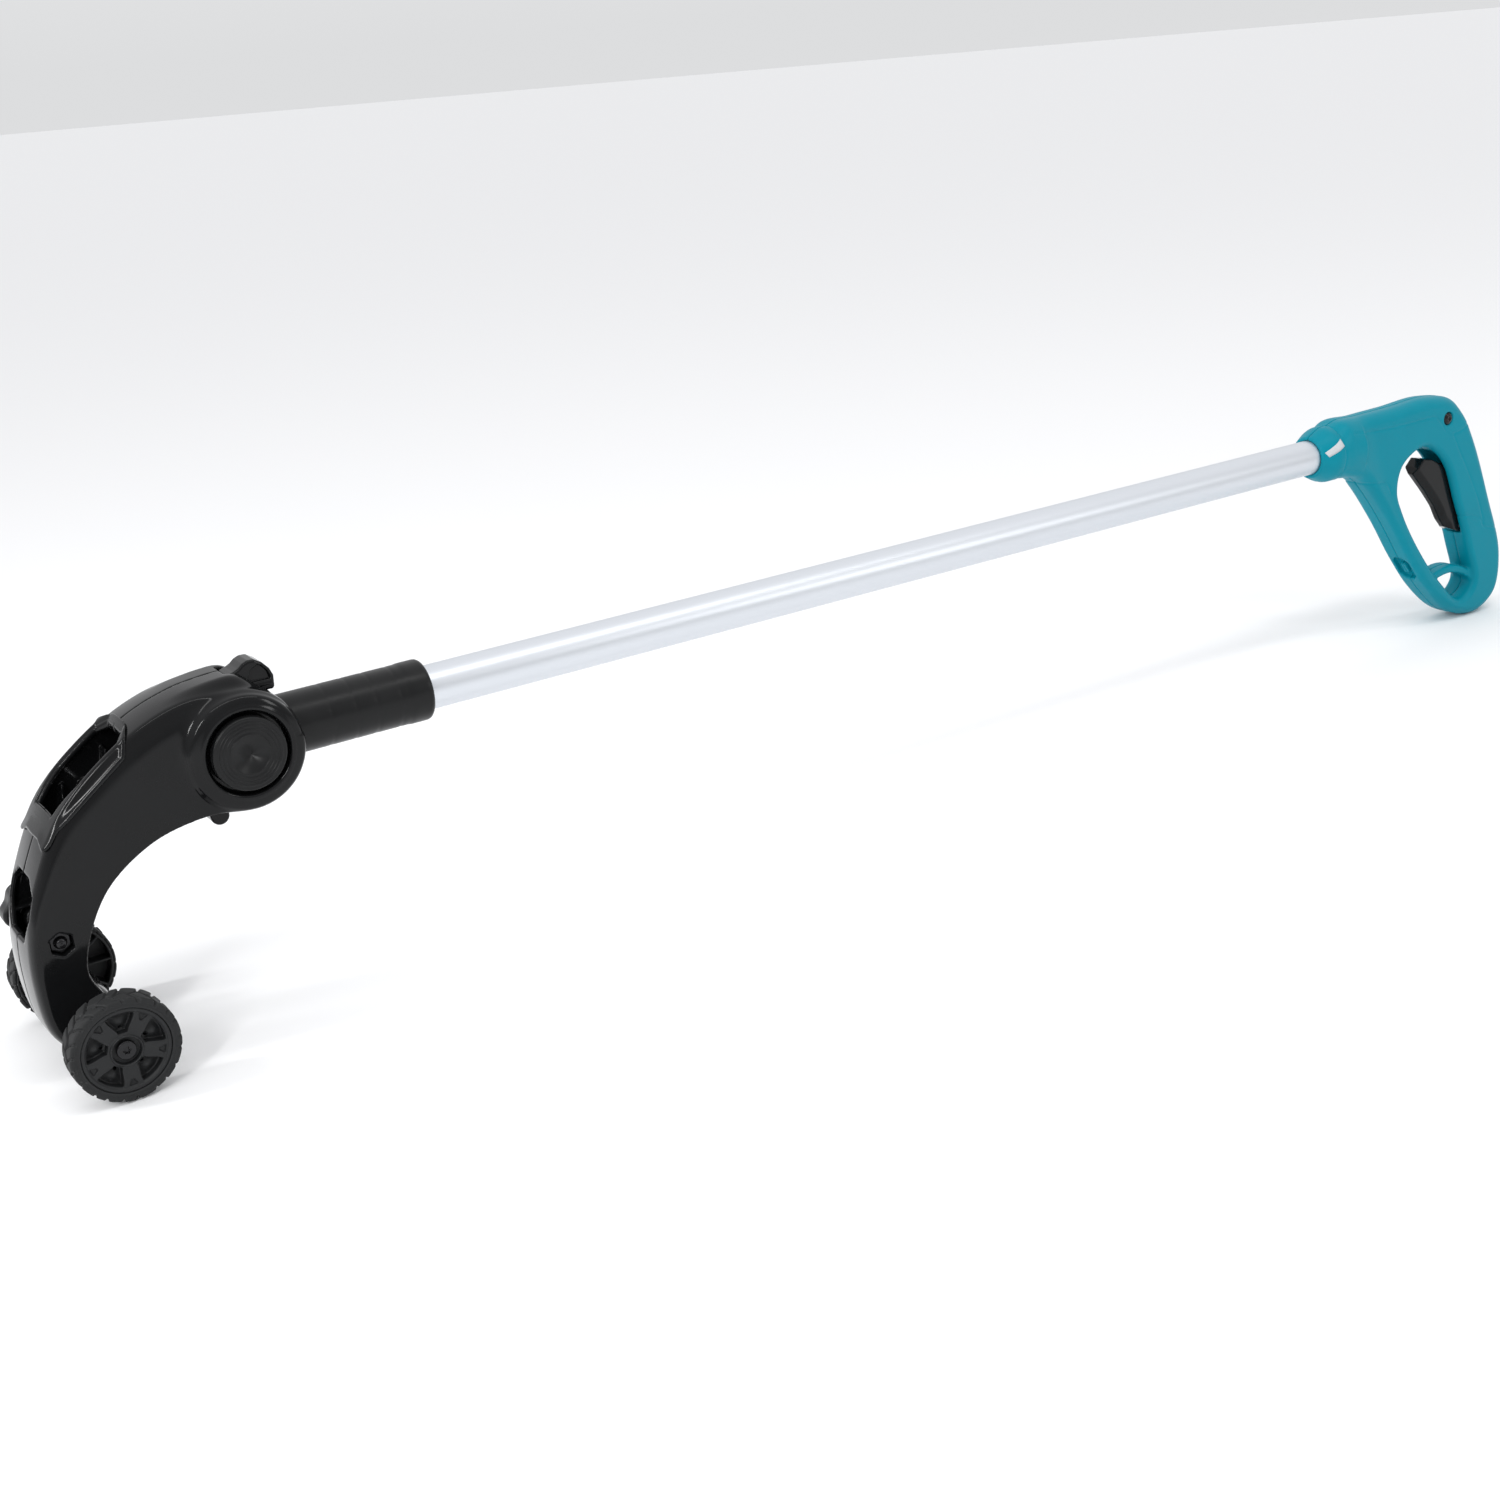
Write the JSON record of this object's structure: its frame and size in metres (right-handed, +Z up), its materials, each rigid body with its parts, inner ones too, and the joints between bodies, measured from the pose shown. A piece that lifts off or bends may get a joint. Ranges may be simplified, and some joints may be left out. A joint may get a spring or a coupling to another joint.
{
  "type": "long-handled wheeled tool carrier",
  "caption": "Long-handled carrier for a small hand-held garden tool: D-handle with trigger, straight tube, tilting arched head with ringed pivot buttons, and two small wheels.",
  "frame": {"origin": "centre of the bounding box on the level that the wheels and the handle's heel rest on", "axes": "+X along the pole from head to handle, +Y to the right-hand side of a user behind the handle, +Z up"},
  "size_m": [1.1592, 0.1342, 0.1919],
  "materials": {
    "handle_plastic": "satin moulded",
    "black_steel": "black oxide",
    "tube_aluminium": "satin anodised",
    "gloss_black_plastic": "gloss moulded",
    "satin_black_plastic": "satin moulded",
    "tyre_rubber": "matt",
    "wheel_plastic": "matt moulded",
    "spring_steel": "bright drawn",
    "plated_steel": "zinc plated"
  },
  "bodies": {
    "pole": {"main_tube": "tube_aluminium", "socket_sleeve": "satin_black_plastic", "rod_guides": "satin_black_plastic", "handle_shell_left": "handle_plastic", "handle_shell_right": "handle_plastic", "handle_screws": "black_steel", "trigger_pin": "plated_steel", "trigger_spring": "spring_steel", "lock_spring_left": "spring_steel", "lock_spring_right": "spring_steel"},
    "head": {"head_shell_left": "gloss_black_plastic", "head_shell_right": "gloss_black_plastic", "window_cover": "gloss_black_plastic", "head_screws": "plated_steel", "pivot_axle": "plated_steel", "rocker_pin": "plated_steel", "lever_pin": "plated_steel", "clamp_nut": "plated_steel", "axle_housing": "gloss_black_plastic", "axle_screws": "plated_steel", "axle_washers": "plated_steel", "lever_spring": "spring_steel"},
    "wheel_left": {"wheel_hub_left": "wheel_plastic", "tyre_left": "tyre_rubber"},
    "wheel_right": {"wheel_hub_right": "wheel_plastic", "tyre_right": "tyre_rubber"},
    "trigger": {"trigger": "gloss_black_plastic"},
    "pull_rod": {"pull_rod": "plated_steel", "rod_hook": "plated_steel"},
    "switch_rocker": {"switch_rocker": "gloss_black_plastic"},
    "pivot_button_left": {"pivot_button_left": "satin_black_plastic"},
    "pivot_button_right": {"pivot_button_right": "satin_black_plastic"},
    "lock_gear_left": {"lock_gear_left": "plated_steel"},
    "lock_gear_right": {"lock_gear_right": "plated_steel"},
    "release_lever": {"release_lever": "gloss_black_plastic"},
    "clamp_knob": {"clamp_knob": "satin_black_plastic", "clamp_bolt": "plated_steel"}
  },
  "joints": [
    {"name": "head_tilt", "type": "hinge", "parent": "pole", "child": "head", "pos_m": [-0.45287, 0, 0.1503], "axis": [0, 1, 0], "range_deg": [-50, 10]},
    {"name": "wheel_left_spin", "type": "hinge", "parent": "head", "child": "wheel_left", "pos_m": [-0.5494, 0, 0.02803], "axis": [0, 1, 0], "continuous": true},
    {"name": "wheel_right_spin", "type": "hinge", "parent": "head", "child": "wheel_right", "pos_m": [-0.5494, 0, 0.02803], "axis": [0, 1, 0], "continuous": true},
    {"name": "trigger_squeeze", "type": "hinge", "parent": "pole", "child": "trigger", "pos_m": [0.53277, 0, 0.07411], "axis": [0, 1, 0], "range_deg": [0, 7.5], "stiffness_Nm_per_rad": 4, "springref_deg": -3.44, "deforming": ["trigger_spring"]},
    {"name": "rod_pull", "type": "slide", "parent": "pole", "child": "pull_rod", "axis": [1, 0, 0.0079], "range_m": [0, 0.00601]},
    {"name": "rocker_turn", "type": "hinge", "parent": "head", "child": "switch_rocker", "pos_m": [-0.47268, 0, 0.12614], "axis": [0, 1, 0], "range_deg": [0, 19.69]},
    {"name": "button_left_press", "type": "slide", "parent": "head", "child": "pivot_button_left", "axis": [0, 1, 0], "range_m": [0, 0.004], "stiffness_N_per_m": 2500, "springref_m": -0.002},
    {"name": "button_right_press", "type": "slide", "parent": "head", "child": "pivot_button_right", "axis": [0, -1, 0], "range_m": [0, 0.004], "stiffness_N_per_m": 2500, "springref_m": -0.002},
    {"name": "gear_left_slide", "type": "slide", "parent": "pole", "child": "lock_gear_left", "axis": [0, 1, 0], "range_m": [0, 0.00401], "deforming": ["lock_spring_left"]},
    {"name": "gear_right_slide", "type": "slide", "parent": "pole", "child": "lock_gear_right", "axis": [0, -1, 0], "range_m": [0, 0.00401], "deforming": ["lock_spring_right"]},
    {"name": "lever_lift", "type": "hinge", "parent": "head", "child": "release_lever", "pos_m": [-0.44713, 0, 0.18335], "axis": [0, 1, 0], "range_deg": [-25, 0], "stiffness_Nm_per_rad": 0.4, "springref_deg": 17.19},
    {"name": "knob_turn", "type": "hinge", "parent": "head", "child": "clamp_knob", "pos_m": [-0.56148, 0, 0.07544], "axis": [0, 1, 0], "range_deg": [0, 720]}
  ],
  "couplings": [
    {"joint": "rod_pull", "follows": "trigger_squeeze", "m_per_rad": 0.045837},
    {"joint": "rocker_turn", "follows": "trigger_squeeze", "ratio": 2.6192},
    {"joint": "gear_left_slide", "follows": "button_left_press", "ratio": 1},
    {"joint": "gear_right_slide", "follows": "button_right_press", "ratio": 1}
  ]
}
